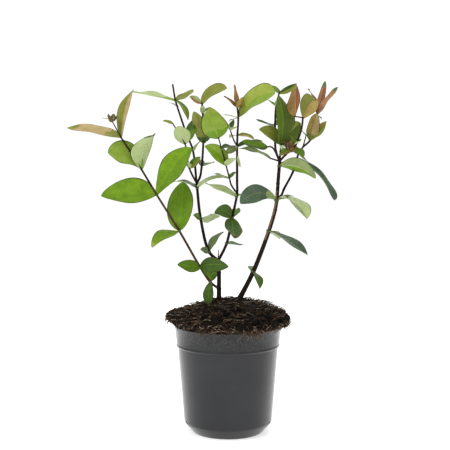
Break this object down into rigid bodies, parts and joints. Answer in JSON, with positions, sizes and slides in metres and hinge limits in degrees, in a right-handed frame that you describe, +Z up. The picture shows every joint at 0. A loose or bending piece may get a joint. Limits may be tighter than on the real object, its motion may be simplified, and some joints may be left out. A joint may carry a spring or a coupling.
{
  "type": "potted tall tutsan",
  "caption": "Young branching shrub with paired oval leaves and small buds, standing in a round dark nursery pot heaped with bark compost.",
  "frame": {"origin": "centre of the pot's flat underside", "axes": "+Z up along the pot's axis, +X to the right and +Y to the back as the picture sees the plant"},
  "size_m": [0.3214, 0.1471, 0.4208],
  "materials": {
    "pot_plastic": "satin dark grey moulded plastic with fine scuffs",
    "compost": "rough dark brown bark and coir compost",
    "bark": "smooth purplish brown young bark, ringed at the nodes",
    "leaves": "matt green leaf with a pale grey-green underside",
    "young_leaves": "matt young leaf tinged bronze and rose"
  },
  "bodies": {
    "root": {"pot": "pot_plastic", "compost": "compost", "stem_left": "bark", "stem_right": "bark", "bough_far_left": "bark", "bough_middle_left": "bark", "bough_middle_right": "bark", "bough_right_side": "bark", "spray_far_left": "leaves", "spray_middle_left_low": "leaves", "spray_middle_left_tall": "leaves", "spray_middle_left_right": "leaves", "spray_middle_front": "leaves", "spray_middle_top": "leaves", "spray_right_tall": "leaves", "spray_right_middle": "leaves", "spray_right_front": "young_leaves", "spray_right_left": "leaves", "spray_right_side": "young_leaves", "leaves_far_left_1": "leaves", "leaves_far_left_2": "leaves", "leaves_far_left_3": "leaves", "leaves_far_left_4": "leaves", "leaves_middle_left_1": "leaves", "leaves_middle_left_2": "leaves", "leaves_middle_left_3": "leaves", "leaves_middle_right_1": "leaves", "leaves_middle_right_2": "leaves", "leaves_middle_right_3": "leaves", "leaves_right_1": "leaves", "leaves_right_2": "leaves", "leaves_right_3": "leaves", "leaves_right_4": "leaves", "leaves_right_side_1": "leaves"}
  },
  "joints": []
}
